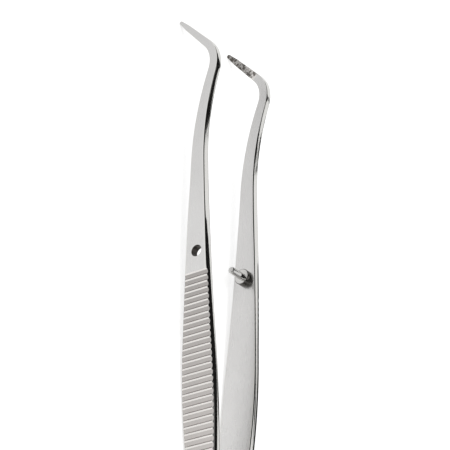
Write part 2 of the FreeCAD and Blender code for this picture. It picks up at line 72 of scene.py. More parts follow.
# The blade seen flat: half-widths at stations along its centre line, with the round at each
HEEL_HALF = 2.75
HEEL_CORNER = 1.8
WAIST_X, WAIST_HALF, WAIST_ROUND = 46.0, 3.1, 300.0
GRIP_X, GRIP_HALF, GRIP_ROUND = 67.5, 4.125, 180.0
FLARE_X, FLARE_HALF, FLARE_ROUND = HOLE_X + 14.2, 1.83, 300.0
LEAN_HALF = 1.34
BEND_HALF = 1.0
NOSE_LENGTH, NOSE_HALF = 3.0, 0.66     # the beak's last stretch, ground to a finer point
TIP_HALF = 0.38
TIP_CORNER = 0.35
TIP_OVERHANG = 0.66         # the tip's lower corner before it was rounded
LEAN_START = HOLE_X + 19.8
LEAN_TURN = math.radians(17.6)
LEAN_RADIUS = 62.0
SHANK_STRAIGHT = 1.37
BEND_TURN = math.radians(60.8)
BEND_RADIUS = 6.6
BEAK_LENGTH = 11.25

# The section: a flat inner face with a rounded edge, an upright wall, a stretch of wall that leans in, and
# a rounded edge to the flat outer face. The edges are quarter ellipses.
INNER_EDGE = (              # station, width, height
    (0.0, 0.15, 0.2), (20.0, 0.2, 0.2), (45.0, 0.3, 0.25), (80.0, 0.3, 0.25),
    (HOLE_X, 0.12, 0.25), (107.0, 0.1, 0.35), (128.0, 0.1, 0.3), (136.0, 0.1, 0.2), (150.0, 0.08, 0.12),
)
WALL_LEAN = (               # station, how far it leans in, over what height
    (0.0, 0.03, 0.5), (20.0, 0.1, 0.7), (45.0, 0.12, 0.6), (80.0, 0.12, 0.6), (HOLE_X, 0.08, 0.5),
    (103.0, 0.01, 0.4), (107.0, 0.0, 0.4), (123.0, 0.0, 0.3), (129.0, 0.03, 0.22), (134.0, 0.03, 0.22),
    (150.0, 0.02, 0.2),
)
OUTER_EDGE = (              # station, width, height
    (0.0, 0.3, 0.3), (20.0, 0.4, 0.35), (45.0, 0.98, 0.62), (80.0, 0.98, 0.62), (HOLE_X, 0.4, 0.35),
    (107.0, 0.26, 0.24), (122.0, 0.24, 0.24), (150.0, 0.12, 0.12),
)
EDGE_SHARE = 0.27           # the most that an edge takes of a half-width
EDGES_ROOM = 0.98           # the most that both edges and the lean take of the thickness
END_ROUND = 0.15            # at the heel's and the tip's end faces
PAST_END = 1.0              # how far the heights run on past the ends

# Points round half of a section
FACE_STEPS = 4
INNER_STEPS = 6
WALL_STEPS = 5
OUTER_STEPS = 10

# How far apart the sections are along each stretch
OPENING_END = 20.0
HEEL_STEP = 1.0
OPENING_STEP = 0.5
WAIST_STEP = 1.0
SHANK_STEP = 0.8
SWEEP_STEP = 0.6
BEND_STEP = 0.35
BEAK_STEP = 0.4
CORNER_STEPS = 9            # round one rounded corner of an end
LEAST_STEP = 0.004

# Grooves
FLUTE_COUNT = 34
FLUTE_PITCH = 1.295
FLUTE_RADIUS = 0.72
FLUTE_DEPTH = 0.42
FLUTE_STEPS = 12            # stations across one flute
FLUTE_CORNER = 0.45         # past here a flute is painted with shade on one side and with a highlight on the other
FIRST_FLUTE = 5.0           # from the guide hole back to the middle of the first flute
TOOTH_COUNT = 15
TOOTH_PITCH = 0.6
TOOTH_DEPTH = 0.2
TOOTH_HALF_MOUTH = 0.27
FIRST_TOOTH = 0.7
BITE_LENGTH = 10.9          # the stretch of the beak's inner face that is rough from the cutter
CUT_SEEN = 0.01             # grooves deeper than this have the cutter's finish
FAR_OFF = 999.0             # a run that no groove reaches

# The guide hole, the pin and its rivet
HOLE_RADIUS = 1.15
HOLE_EDGE = 0.06
RIVET_RADIUS = 0.9
RIVET_HEAD = 1.3
RIVET_HEAD_DEPTH = 0.4
RIVET_RECESS = 0.02
RIVET_PLAY = 0.01           # keeps the rivet's surface off its seat
RIVET_RIM = (0.08, 0.06)    # the broken edge of the peened end, in and along
COLLAR_RADIUS = 1.65
COLLAR_HEIGHT = 1.25
COLLAR_EDGE = 0.12
COLLAR_TOP_PLAY = 0.002     # the collar's painted dark reflection ends this far below its flat top
PIN_RADIUS = 0.725
PIN_END = 4.8
PIN_NOSE = 0.35
PIN_FOOT = 0.06             # the small slope between collar and pin
ARC_STEPS = 6
CUTTER_PAST = 1.0           # how far the hole cutters run on outside the arm
RIVET_CUTTER_PAST = 0.5
LATHE_STEPS = 72

# Where smooth shading breaks, in degrees
ARM_CREASE = 34
PIN_CREASE = 40

# The far arm bends over the front of the weld, and its heel stays with the other arm
BEND_FROM = WELD_END - 4.0
BEND_TO = WELD_END + 6.0


def rounded_height(corners):
    """The height at any place along a line of (along, height, round) corners, as one function."""
    arcs = []
    for before, (corner_x, corner_y, radius), after in zip(corners, corners[1:], corners[2:]):
        if not radius:
            continue
        slope_in = math.atan2(corner_y - before[1], corner_x - before[0])
        slope_out = math.atan2(after[1] - corner_y, after[0] - corner_x)
        reach = radius * math.tan(abs(slope_out - slope_in) / 2)
        start = corner_x - reach * math.cos(slope_in)
        end = corner_x + reach * math.cos(slope_out)
        bulge = math.copysign(1, slope_in - slope_out)
        centre_x = start + bulge * radius * math.sin(slope_in)
        centre_y = corner_y - reach * math.sin(slope_in) - bulge * radius * math.cos(slope_in)
        arcs.append((start, end, centre_x, centre_y, bulge, radius))

    def height(along):
        for start, end, centre_x, centre_y, bulge, radius in arcs:
            if start <= along <= end:
                return centre_y + bulge * math.sqrt(radius ** 2 - (along - centre_x) ** 2)
        for here, ahead in zip(corners, corners[1:]):
            if along <= ahead[0] or ahead is corners[-1]:
                share = (along - here[0]) / (ahead[0] - here[0])
                return here[1] + share * (ahead[1] - here[1])
        return corners[-1][1]

    return height


class CentreLine:
    """The blade's centre line seen flat: straight, a sweep up, a short straight, the bend and the beak."""

    def __init__(self):
        self.pieces = []
        self.length = 0.0
        place = Vector((0.0, 0.0))
        turn = 0.0
        for run, change in (
            (LEAN_START, 0.0),
            (LEAN_RADIUS * LEAN_TURN, LEAN_TURN),
            (SHANK_STRAIGHT, 0.0),
            (BEND_RADIUS * BEND_TURN, -BEND_TURN),
            (BEAK_LENGTH, 0.0),
        ):
            self.pieces.append((self.length, run, place.copy(), turn, change))
            place = self.at(self.length + run)[0]
            turn += change
            self.length += run

    def at(self, run):
        """The place and direction at a distance along the line."""
        start, length, place, turn, change = self.pieces[0]
        for piece in self.pieces:
            if run >= piece[0]:
                start, length, place, turn, change = piece
        step = run - start
        if not change:
            return place + step * Vector((math.cos(turn), math.sin(turn))), turn
        radius = length / change
        ahead = turn + step / radius
        across = Vector((math.sin(ahead) - math.sin(turn), math.cos(turn) - math.cos(ahead)))
        return place + radius * across, ahead


line = CentreLine()
lean_middle = LEAN_START + LEAN_RADIUS * LEAN_TURN / 2
bend_start, bend_run = line.pieces[3][:2]
bend_middle = bend_start + bend_run / 2
beak_start = line.pieces[4][0]
tip_place, tip_turn = line.at(line.length)
TIP_X = tip_place.x + TIP_OVERHANG * abs(math.sin(tip_turn))

# The inner face seen on its edge: flat on the weld, up at the splay, round the bow and in at the toe
bow_half_turn = (SPLAY - SHANK) / 2
bow_corner_x = BOW_END_X - BOW_RADIUS * math.tan(bow_half_turn) * math.cos(SHANK)
bow_corner_y = (bow_corner_x - WELD_END) * math.tan(SPLAY)
bow_centre_x = BOW_END_X + BOW_RADIUS * math.sin(SHANK)
bow_end_y = bow_corner_y + (BOW_END_X - bow_corner_x) * math.tan(SHANK)
bow_centre_y = bow_end_y - BOW_RADIUS * math.cos(SHANK)
hole_lean = math.asin((bow_centre_x - HOLE_X) / BOW_RADIUS)
hole_y = bow_centre_y + BOW_RADIUS * math.cos(hole_lean)
toe_x = TIP_X - TOE_LENGTH
toe_y = bow_corner_y + (toe_x - bow_corner_x) * math.tan(SHANK)
tip_inner_y = toe_y - TOE_LENGTH * math.tan(TOE)

# The outer face, which leaves and comes back at slopes of its own, so that the thickness changes
BACK_RADIUS = BOW_RADIUS + HOLE_THICK
back_centre_x = BOW_END_X + BACK_RADIUS * math.sin(BACK_SHANK)
back_centre_y = hole_y + HOLE_THICK - math.sqrt(BACK_RADIUS ** 2 - (back_centre_x - HOLE_X) ** 2)
back_reach = BACK_RADIUS / math.cos((BACK_SPLAY - BACK_SHANK) / 2)
back_middle = (BACK_SPLAY + BACK_SHANK) / 2
back_corner_x = back_centre_x - back_reach * math.sin(back_middle)
back_corner_y = back_centre_y + back_reach * math.cos(back_middle)
shoulder_x = back_corner_x - (back_corner_y - HEEL_THICK) / math.tan(BACK_SPLAY)
taper_x = TIP_X - TAPER_LENGTH
taper_y = back_corner_y + (taper_x - back_corner_x) * math.tan(BACK_SHANK)
first_flute_lean = math.asin((back_centre_x - HOLE_X + FIRST_FLUTE) / BACK_RADIUS)

inner_height = rounded_height([
    (-PAST_END, 0.0, 0.0),
    (WELD_END, 0.0, 0.0),
    (bow_corner_x, bow_corner_y, BOW_RADIUS),
    (toe_x, toe_y, TOE_ROUND),
    (TIP_X + PAST_END, tip_inner_y - PAST_END * math.tan(TOE), 0.0),
])
outer_height = rounded_height([
    (-PAST_END, HEEL_THICK, 0.0),
    (shoulder_x, HEEL_THICK, HEEL_ROUND),
    (back_corner_x, back_corner_y, BACK_RADIUS),
    (taper_x, taper_y, TAPER_ROUND),
    (TIP_X, tip_inner_y + TIP_THICK, 0.0),
])
half_width = rounded_height([
    (0.0, HEEL_HALF, 0.0),
    (WAIST_X, WAIST_HALF, WAIST_ROUND),
    (GRIP_X, GRIP_HALF, GRIP_ROUND),
    (FLARE_X, FLARE_HALF, FLARE_ROUND),
    (lean_middle, LEAN_HALF, 0.0),
    (bend_middle, BEND_HALF, 0.0),
    (line.length - NOSE_LENGTH, NOSE_HALF, 0.0),
    (line.length, TIP_HALF, 0.0),
])


def flute_run(along):
    """Distance back along the outer face from the first flute's middle."""
    lean = math.asin((back_centre_x - along) / BACK_RADIUS)
    return (lean - first_flute_lean) * BACK_RADIUS


def flute_station(run):
    """The inverse of flute_run."""
    return back_centre_x - BACK_RADIUS * math.sin(first_flute_lean + run / BACK_RADIUS)


def spread(first, last, step):
    """Even stations from first to last, no more than step apart."""
    count = max(1, math.ceil((last - first) / step))
    return [first + (last - first) * index / count for index in range(count + 1)]


def end_stations(size):
    """Distances from an end, closer together towards it, that draw its rounded corner."""
    return [size * (1 - math.cos(math.pi / 2 * index / CORNER_STEPS)) for index in range(CORNER_STEPS + 1)]


def stations():
    """Every distance along the centre line at which the blade gets a section."""
    places = end_stations(HEEL_CORNER) + end_stations(END_ROUND)
    places += spread(HEEL_CORNER, WELD_END, HEEL_STEP)
    places += spread(WELD_END, OPENING_END, OPENING_STEP)
    last_flute = flute_station((FLUTE_COUNT - 0.5) * FLUTE_PITCH)
    first_flute = flute_station(-0.5 * FLUTE_PITCH)
    places += spread(OPENING_END, last_flute, WAIST_STEP)
    for index in range(FLUTE_COUNT):
        for step in range(FLUTE_STEPS):
            places.append(flute_station((index - 0.5 + step / FLUTE_STEPS) * FLUTE_PITCH))
    places += spread(first_flute, LEAN_START, SHANK_STEP)
    places += spread(LEAN_START, bend_start, SWEEP_STEP)
    places += spread(bend_start, beak_start, BEND_STEP)
    teeth_end = line.length - FIRST_TOOTH - (TOOTH_COUNT - 0.5) * TOOTH_PITCH
    places += spread(beak_start, teeth_end, BEAK_STEP)
    for index in range(TOOTH_COUNT):
        middle = line.length - FIRST_TOOTH - index * TOOTH_PITCH
        for share in (-1, -0.5, 0, 0.5, 1):
            places.append(middle + share * TOOTH_HALF_MOUTH)
    tip_stations = end_stations(TIP_CORNER) + end_stations(END_ROUND)
    places += [line.length - distance for distance in tip_stations]
    kept = []
    for place in sorted(places):
        if not kept or place - kept[-1] > LEAST_STEP:
            kept.append(place)
    return kept


def corner_inset(distance, radius):
    """How far a rounded corner draws in at a distance from the end."""
    if distance >= radius:
        return 0.0
    return radius - math.sqrt(max(0.0, radius ** 2 - (radius - distance) ** 2))


def sizes_at(table, place, half):
    """A wall table's two sizes at a station, kept within the blade."""
    width = rounded_height([(at, wide, 0.0) for at, wide, high in table])(place)
    height = rounded_height([(at, high, 0.0) for at, wide, high in table])(place)
    return min(width, EDGE_SHARE * half), height


def section(half, thick, place):
    """Points round half of a section as (across, share of the thickness), inner face to outer face."""
    inner_wide, inner_high = sizes_at(INNER_EDGE, place, half)
    lean_wide, lean_high = sizes_at(WALL_LEAN, place, half)
    outer_wide, outer_high = sizes_at(OUTER_EDGE, place, half)
    room = min(1.0, EDGES_ROOM * thick / (inner_high + lean_high + outer_high))
    inner_high, lean_high, outer_high = inner_high * room, lean_high * room, outer_high * room
    # The outer ellipse starts where it is as steep as the lean
    first_angle = math.atan(lean_wide / lean_high * outer_high / outer_wide)
    last_angle = math.pi / 2
    points = []
    for step in range(FACE_STEPS):
        points.append(((half - inner_wide) * step / FACE_STEPS, 0.0))
    for step in range(INNER_STEPS + 1):
        angle = last_angle * step / INNER_STEPS
        points.append((half - inner_wide * (1 - math.sin(angle)), inner_high * (1 - math.cos(angle))))
    lean_end = thick - outer_high * (1 - math.sin(first_angle))
    for step in range(WALL_STEPS):
        share = step / WALL_STEPS
        points.append((half - lean_wide * share, lean_end - lean_high * (1 - share)))
    for step in range(OUTER_STEPS + 1):
        angle = first_angle + (last_angle - first_angle) * step / OUTER_STEPS
        across = half - lean_wide - outer_wide * (math.cos(first_angle) - math.cos(angle))
        points.append((across, thick - outer_high * (1 - math.sin(angle))))
    edge = points[-1][0]
    for step in range(1, FACE_STEPS + 1):
        points.append((edge * (1 - step / FACE_STEPS), thick))
    return [(across, out / thick) for across, out in points]


SATIN_SLOT, POLISHED_SLOT, TOOTHED_SLOT = 0, 1, 2


def blade_mesh(side):
    """The blade without grooves or holes, with the runs and covers that the groove trees read."""
    mesh = bmesh.new()
    layers = mesh.verts.layers.float
    run_layer = layers.new("flute_run")
    bite_layer = layers.new("bite_run")
    cover_layer = layers.new("below_face")
    depth_layer = layers.new("above_inner")
    rings = []
    for place in stations():
        centre, turn = line.at(place)
        to_end = min(place, line.length - place)
        inset = corner_inset(to_end, END_ROUND)
        corner = HEEL_CORNER if place < line.length / 2 else TIP_CORNER
        half = half_width(place) - corner_inset(to_end, corner)
        thick = outer_height(centre.x) - inner_height(centre.x) - 2 * inset
        right = section(half, thick, place)
        left = [(-across, share) for across, share in right[-2:0:-1]]
        ring = []
        for across, share in right + left:
            along = centre.x - across * math.sin(turn)
            low = inner_height(along) + inset
            high = outer_height(along) - inset
            out = low + (high - low) * share
            vert = mesh.verts.new((along, side * out, centre.y + across * math.cos(turn)))
            straight = WELD_END < place < LEAN_START
            vert[run_layer] = flute_run(along) if straight else FAR_OFF
            vert[bite_layer] = line.length - place if place > beak_start else FAR_OFF
            vert[cover_layer] = max(0.0, high - out)
            vert[depth_layer] = max(0.0, out - low)
            ring.append(vert)
        rings.append(ring)
    count = len(rings[0])
    wall_first = FACE_STEPS
    wall_last = wall_first + INNER_STEPS + 1 + WALL_STEPS + OUTER_STEPS
    for here, ahead in zip(rings, rings[1:]):
        for index in range(count):
            after = (index + 1) % count
            face = mesh.faces.new((here[index], here[after], ahead[after], ahead[index]))
            mirrored = min(index, count - 1 - index)
            face.material_index = POLISHED_SLOT if wall_first <= mirrored < wall_last else SATIN_SLOT
            bitten = all(vert[bite_layer] < BITE_LENGTH for vert in face.verts)
            if bitten and mirrored < wall_first:
                face.material_index = TOOTHED_SLOT
            face.smooth = True
    for ring in (rings[0], rings[-1]):
        cap = mesh.faces.new(ring)
        cap.material_index = POLISHED_SLOT
    bmesh.ops.recalc_face_normals(mesh, faces=mesh.faces)
    data = bpy.data.meshes.new("blade")
    mesh.to_mesh(data)
    mesh.free()
    return data


MIX_FIRST, MIX_SECOND, MIX_RESULT = 6, 7, 2     # a mix node's colour sockets


def linear(hex_colour):
    """An sRGB hex colour as the linear colour that the shaders take."""
    channels = [int(hex_colour[index:index + 2], 16) / 255 for index in (1, 3, 5)]
    return [c / 12.92 if c <= 0.04045 else ((c + 0.055) / 1.055) ** 2.4 for c in channels] + [1.0]


def node(tree, kind, inputs=None, **settings):
    """Adds a node, sets what it is told to and links the inputs that are other nodes' outputs."""
    made = tree.nodes.new(kind)
    for name, value in settings.items():
        setattr(made, name, value)
    for key, value in (inputs or {}).items():
        if isinstance(value, bpy.types.NodeSocket):
            tree.links.new(value, made.inputs[key])
        else:
            made.inputs[key].default_value = value
    return made


def new_material(name):
    """A material and its node tree, which starts empty."""
    material = bpy.data.materials.new(name)
    material.use_nodes = True
    material.node_tree.nodes.clear()
    return material, material.node_tree


def finish_material(tree, colour, roughness, bump=None):
    """A metal's shader and output."""
    inputs = {"Base Color": colour, "Metallic": 1.0, "Roughness": roughness}
    if bump is not None:
        inputs["Normal"] = bump
    shader = node(tree, "ShaderNodeBsdfPrincipled", inputs)
    node(tree, "ShaderNodeOutputMaterial", {"Surface": shader.outputs["BSDF"]})


def mixed(tree, factor, first_hex, second_hex):
    """A colour between two hex colours."""
    mix = node(tree, "ShaderNodeMix", {
        "Factor": factor, MIX_FIRST: linear(first_hex), MIX_SECOND: linear(second_hex),
    }, data_type="RGBA")
    return mix.outputs[MIX_RESULT]


def shaded_along(tree, place, colour, first, last):
    """A colour whose lightness changes along the part's X between two (millimetres, share) ends."""
    along = node(tree, "ShaderNodeSeparateXYZ", {"Vector": place}).outputs["X"]
    share = node(tree, "ShaderNodeMapRange", {
        "Value": along, "From Min": first[0] * MM, "From Max": last[0] * MM,
        "To Min": first[1], "To Max": last[1],
    })
    scaled = node(tree, "ShaderNodeVectorMath", {
        0: colour, "Scale": share.outputs["Result"],
    }, operation="SCALE")
    return scaled.outputs[0]


def satin_steel():
    """Ground stainless steel, satin brushed along the blade: soft grey with fine long scratches."""
    material, tree = new_material("satin_ground_stainless_steel_with_painted_shade_along")
    place = node(tree, "ShaderNodeTexCoord").outputs["Object"]
    scratch_width = 0.22 * MM      # coarser than real 0.05 mm scratches, which wouldn't show
    scratch_length = 14.0 * MM
    scratch_depth = 0.004 * MM
    patch_size = 6.0 * MM
    stretch = (1 / scratch_length, 1 / scratch_width, 1 / scratch_width)
    scratched = node(tree, "ShaderNodeMapping", {"Vector": place, "Scale": stretch})
    grain = node(tree, "ShaderNodeTexNoise", {
        "Vector": scratched.outputs["Vector"], "Scale": 1.0, "Detail": 3.0,
    })
    patches = node(tree, "ShaderNodeTexNoise", {"Vector": place, "Scale": 1 / patch_size, "Detail": 2.0})
    shade = mixed(tree, patches.outputs["Fac"], "#D9D8D7", "#CFCECD")
    # Painted light and shade: the colour is lighter towards the heel and darker towards the beak
    shade = shaded_along(tree, place, shade, *SATIN_PAINTED_SHADE_ENDS)
    rough = node(tree, "ShaderNodeMapRange", {
        "Value": grain.outputs["Fac"], "To Min": 0.2, "To Max": 0.32,
    })
    bump = node(tree, "ShaderNodeBump", {
        "Height": grain.outputs["Fac"], "Strength": 0.25, "Distance": scratch_depth,
    })
    finish_material(tree, shade, rough.outputs["Result"], bump.outputs["Normal"])
    return material


def polished_steel(name, hex_colour, roughness, ends=None):
    """Buffed stainless steel: a mirror with the slight waves that a buffing wheel leaves."""
    material, tree = new_material(name)
    place = node(tree, "ShaderNodeTexCoord").outputs["Object"]
    wave_length = 3.5 * MM
    wave_height = 0.01 * MM
    extra_haze = 0.07
    waves = node(tree, "ShaderNodeTexNoise", {"Vector": place, "Scale": 1 / wave_length, "Detail": 1.0})
    haze = node(tree, "ShaderNodeMapRange", {
        "Value": waves.outputs["Fac"], "To Min": roughness, "To Max": roughness + extra_haze,
    })
    bump = node(tree, "ShaderNodeBump", {
        "Height": waves.outputs["Fac"], "Strength": 0.3, "Distance": wave_height,
    })
    colour = linear(hex_colour)
    # With ends given, light and shade are painted into the colour along X
    if ends:
        colour = shaded_along(tree, place, colour[:3], *ends)
    finish_material(tree, colour, haze.outputs["Result"], bump.outputs["Normal"])
    return material


def teeth_steel_painted_with_reflections():
    """The teeth: random spots painted dark and bright in place of reflections, rougher where dark."""
    material, tree = new_material("teeth_steel_with_painted_reflections")
    place = node(tree, "ShaderNodeTexCoord").outputs["Object"]
    spot_size = 0.9 * MM
    spots = node(tree, "ShaderNodeTexNoise", {"Vector": place, "Scale": 1 / spot_size, "Detail": 2.0})
    bright = node(tree, "ShaderNodeMapRange", {
        "Value": spots.outputs["Fac"], "From Min": 0.42, "From Max": 0.58,
    })
    shade = mixed(tree, bright.outputs["Result"], "#67635F", "#D6D3D0")
    rough = node(tree, "ShaderNodeMapRange", {
        "Value": spots.outputs["Fac"], "To Min": 0.32, "To Max": 0.12,
    })
    finish_material(tree, shade, rough.outputs["Result"])
    return material


GROOVE_SIZES = ("First", "Pitch", "Count", "Depth", "Corner from")


def groove_tree(name, run_name, cover_name, profile, own_size, direction):
    """A tree that sinks repeated grooves into a face. A point that already lies lower keeps its place.

    The profile gives the depth at an offset from a groove's middle, and own_size is the size that only this
    profile takes. A cut face takes the plain finish; towards the crest it takes a painted shade on one side
    and a painted highlight on the other.
    """
    tree = bpy.data.node_groups.new(name, "GeometryNodeTree")
    face = tree.interface
    face.new_socket(name="Blade", in_out="INPUT", socket_type="NodeSocketGeometry")
    for size_name in GROOVE_SIZES + (own_size,):
        face.new_socket(name=size_name, in_out="INPUT", socket_type="NodeSocketFloat")
    for finish_name in ("Finish", "Corner painted shade", "Crest painted highlight"):
        face.new_socket(name=finish_name, in_out="INPUT", socket_type="NodeSocketMaterial")
    face.new_socket(name="Blade", in_out="OUTPUT", socket_type="NodeSocketGeometry")
    start = node(tree, "NodeGroupInput").outputs
    end = node(tree, "NodeGroupOutput")

    def maths(operation, first, second=0.0):
        return node(tree, "ShaderNodeMath", {0: first, 1: second}, operation=operation).outputs[0]

    def stored(attribute):
        kind = "GeometryNodeInputNamedAttribute"
        return node(tree, kind, {"Name": attribute}, data_type="FLOAT").outputs[0]

    def finished(geometry, where, finish):
        return node(tree, "GeometryNodeSetMaterial", {
            "Geometry": geometry, "Selection": where, "Material": start[finish],
        }).outputs[0]

    from_first = maths("SUBTRACT", stored(run_name), start["First"])
    nearest = maths("ROUND", maths("DIVIDE", from_first, start["Pitch"]))
    last = maths("SUBTRACT", start["Count"], 1.0)
    index = maths("MAXIMUM", maths("MINIMUM", nearest, last), 0.0)
    ahead = maths("SUBTRACT", from_first, maths("MULTIPLY", index, start["Pitch"]))
    behind = maths("MULTIPLY", ahead, -1.0)
    depth = profile(maths, maths("ABSOLUTE", ahead), start)
    sink = maths("MAXIMUM", maths("SUBTRACT", depth, stored(cover_name)), 0.0)
    move = node(tree, "ShaderNodeCombineXYZ", {"Y": maths("MULTIPLY", sink, direction)})
    moved = node(tree, "GeometryNodeSetPosition", {"Geometry": start["Blade"], "Offset": move.outputs[0]})
    real = node(tree, "GeometryNodeRealizeInstances", {"Geometry": moved.outputs[0]})
    cut = maths("GREATER_THAN", sink, CUT_SEEN)
    # Towards the crest, one side of a flute is painted dark as shade and the other painted bright as a
    # highlight
    corner = maths("MULTIPLY", cut, maths("GREATER_THAN", ahead, start["Corner from"]))
    crest = maths("MULTIPLY", cut, maths("GREATER_THAN", behind, start["Corner from"]))
    geometry = finished(real.outputs[0], cut, "Finish")
    geometry = finished(geometry, corner, "Corner painted shade")
    geometry = finished(geometry, crest, "Crest painted highlight")
    tree.links.new(geometry, end.inputs[0])
    return tree


def round_profile(maths, offset, start):
    """A flute's depth off its middle, as a round cutter leaves it."""
    radius = start["Cutter radius"]
    squared = maths("SUBTRACT", maths("MULTIPLY", radius, radius), maths("MULTIPLY", offset, offset))
    below_centre = maths("SQRT", maths("MAXIMUM", squared, 0.0))
    return maths("SUBTRACT", below_centre, maths("SUBTRACT", radius, start["Depth"]))


def pointed_profile(maths, offset, start):
    """A tooth groove's depth off its middle, as a pointed cutter leaves it."""
    slope = maths("DIVIDE", start["Depth"], start["Half mouth"])
    return maths("SUBTRACT", start["Depth"], maths("MULTIPLY", offset, slope))


def add_grooves(piece, tree, values):
    """Puts a groove tree on a piece and sets its inputs by their identifiers."""
    modifier = piece.modifiers.new(tree.name, "NODES")
    modifier.node_group = tree
    for socket in tree.interface.items_tree:
        if socket.in_out == "INPUT" and socket.name in values:
            modifier[socket.identifier] = values[socket.name]


def lathe(name, profile):
    """A closed turned shape about Y from (radius, along) points that start and end on the axis."""
    mesh = bmesh.new()
    rings = []
    for radius, along in profile:
        if radius == 0:
            rings.append([mesh.verts.new((0, along, 0))])
            continue
        ring = []
        for index in range(LATHE_STEPS):
            angle = 2 * math.pi * index / LATHE_STEPS
            ring.append(mesh.verts.new((radius * math.cos(angle), along, radius * math.sin(angle))))
        rings.append(ring)
    for here, ahead in zip(rings, rings[1:]):
        for index in range(LATHE_STEPS):
            after = (index + 1) % LATHE_STEPS
            corners = [here[index % len(here)], here[after % len(here)]]
            corners += [ahead[after % len(ahead)], ahead[index % len(ahead)]]
            face = mesh.faces.new(list(dict.fromkeys(corners)))
            face.smooth = True
    bmesh.ops.recalc_face_normals(mesh, faces=mesh.faces)
    data = bpy.data.meshes.new(name)
    mesh.to_mesh(data)
    mesh.free()
    return data


def rounded_rim(outer_radius, top, radius):
    """Points of a quarter arc from a turned shape's side to its flat top."""
    points = []
    for index in range(ARC_STEPS + 1):
        angle = math.radians(90 * index / ARC_STEPS)
        across = outer_radius - radius + radius * math.cos(angle)
        points.append((across, top - radius + radius * math.sin(angle)))
    return points


def seat_matrix(side):
    """From a hole's own axes, its depth along +Y towards the arm's back, to the blade's frame."""
    turn = Matrix.Rotation(side * hole_lean, 4, "Z")
    flip = Matrix.Rotation(math.pi if side == FAR else 0.0, 4, "X")
    return Matrix.Translation((HOLE_X, side * hole_y, GUIDE_UP)) @ turn @ flip


def add_object(name, data):
    """A new object in the scene."""
    piece = bpy.data.objects.new(name, data)
    bpy.context.scene.collection.objects.link(piece)
    return piece


def as_plain_mesh(piece, name):
    """The evaluated piece as a new mesh object with no modifiers."""
    bpy.context.view_layer.update()
    depsgraph = bpy.context.evaluated_depsgraph_get()
    data = bpy.data.meshes.new_from_object(piece.evaluated_get(depsgraph))
    data.name = name
    plain = add_object(name, data)
    bpy.data.objects.remove(piece)
    return plain


def cut_hole(piece, cutter):
    """Cuts a turned cutter out of a piece and keeps the cutter's finish on the new faces."""
    modifier = piece.modifiers.new("hole", "BOOLEAN")
    modifier.operation = "DIFFERENCE"
    modifier.solver = "EXACT"
    modifier.material_mode = "TRANSFER"
    modifier.object = cutter
    plain = as_plain_mesh(piece, piece.name + "_cut")
    bpy.data.objects.remove(cutter)
    return plain


def sharpen(piece, degrees):
    """Smooth shading that breaks at edges sharper than this."""
    for polygon in piece.data.polygons:
        polygon.use_smooth = True
    piece.data.set_sharp_from_angle(angle=math.radians(degrees))


def turned_cutter(name, profile, side, finish):
    """A turned cutter in an arm's hole."""
    cutter = add_object(name, lathe(name, profile))
    cutter.data.materials.append(finish)
    cutter.data.transform(seat_matrix(side))
    return cutter


def guide_cutter(finish):
    """The guide hole with both its edges broken at 45 degrees."""
    past = HOLE_THICK + CUTTER_PAST
    wide = HOLE_RADIUS + HOLE_EDGE + CUTTER_PAST
    profile = [
        (0, -CUTTER_PAST), (wide, -CUTTER_PAST), (HOLE_RADIUS, HOLE_EDGE),
        (HOLE_RADIUS, HOLE_THICK - HOLE_EDGE), (wide, past), (0, past),
    ]
    return turned_cutter("guide_cutter", profile, NEAR, finish)


def rivet_cutter(finish):
    """The pin's seat: its hole and the countersink for its peened end."""
    head_start = HOLE_THICK - RIVET_HEAD_DEPTH
    spread_rate = (RIVET_HEAD - RIVET_RADIUS) / RIVET_HEAD_DEPTH
    past = HOLE_THICK + RIVET_CUTTER_PAST
    wide = RIVET_HEAD + RIVET_CUTTER_PAST * spread_rate
    profile = [
        (0, -CUTTER_PAST), (RIVET_RADIUS, -CUTTER_PAST), (RIVET_RADIUS, head_start),
        (wide, past), (0, past),
    ]
    return turned_cutter("rivet_cutter", profile, FAR, finish)


def pin_mesh():
    """The turned pin: peened end, shank, collar with broken edge, pin and round nose."""
    head = -(HOLE_THICK - RIVET_RECESS)
    head_radius = RIVET_HEAD - RIVET_PLAY
    shank_radius = RIVET_RADIUS - RIVET_PLAY
    rim_in, rim_along = RIVET_RIM
    profile = [(0, head), (head_radius - rim_in, head), (head_radius, head + rim_along)]
    profile += [(shank_radius, head + RIVET_HEAD_DEPTH), (shank_radius, 0.0), (COLLAR_RADIUS, 0.0)]
    profile += rounded_rim(COLLAR_RADIUS, COLLAR_HEIGHT, COLLAR_EDGE)
    profile += [(PIN_RADIUS + PIN_FOOT, COLLAR_HEIGHT), (PIN_RADIUS, COLLAR_HEIGHT + PIN_FOOT)]
    profile += rounded_rim(PIN_RADIUS, PIN_END, PIN_NOSE)
    profile.append((0, PIN_END))
    data = lathe("pin", profile)
    # The collar's side takes the second slot, painted dark as its reflection
    collar_side = COLLAR_HEIGHT - COLLAR_TOP_PLAY
    for polygon in data.polygons:
        polygon.material_index = 1 if 0 < polygon.center.y < collar_side else 0
    data.transform(Matrix.Rotation(math.pi, 4, "X"))
    data.transform(seat_matrix(FAR))
    return data


